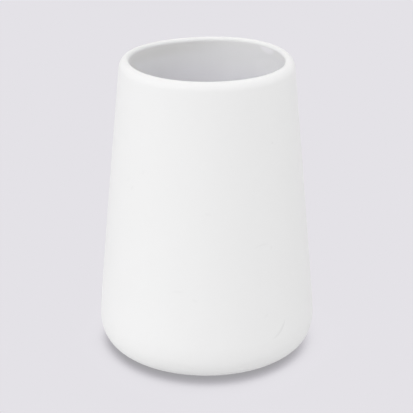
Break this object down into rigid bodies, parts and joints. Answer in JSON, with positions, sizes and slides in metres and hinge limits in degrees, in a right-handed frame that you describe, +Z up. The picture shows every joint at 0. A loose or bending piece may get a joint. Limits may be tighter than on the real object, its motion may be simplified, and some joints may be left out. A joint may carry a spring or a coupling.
{
  "type": "ceramic tumbler",
  "caption": "Open tapering ceramic cup with a softly rounded wide base and a rolled lip, standing on small non-slip pads inside its foot ring.",
  "frame": {"origin": "centre of the four non-slip pads' rest faces, on the table and on the cup's axis", "axes": "+Z up along the cup's axis from its foot to its mouth; X and Y pass between the pads"},
  "size_m": [0.0796, 0.0796, 0.11],
  "materials": {
    "white_glazed_ceramic": "satin-matt white glaze outside, smoother glaze in the hollow",
    "pad_silicone": "soft matt pale silicone"
  },
  "bodies": {
    "root": {"tumbler_body": "white_glazed_ceramic", "foot_pad_1": "pad_silicone", "foot_pad_2": "pad_silicone", "foot_pad_3": "pad_silicone", "foot_pad_4": "pad_silicone"}
  },
  "joints": []
}
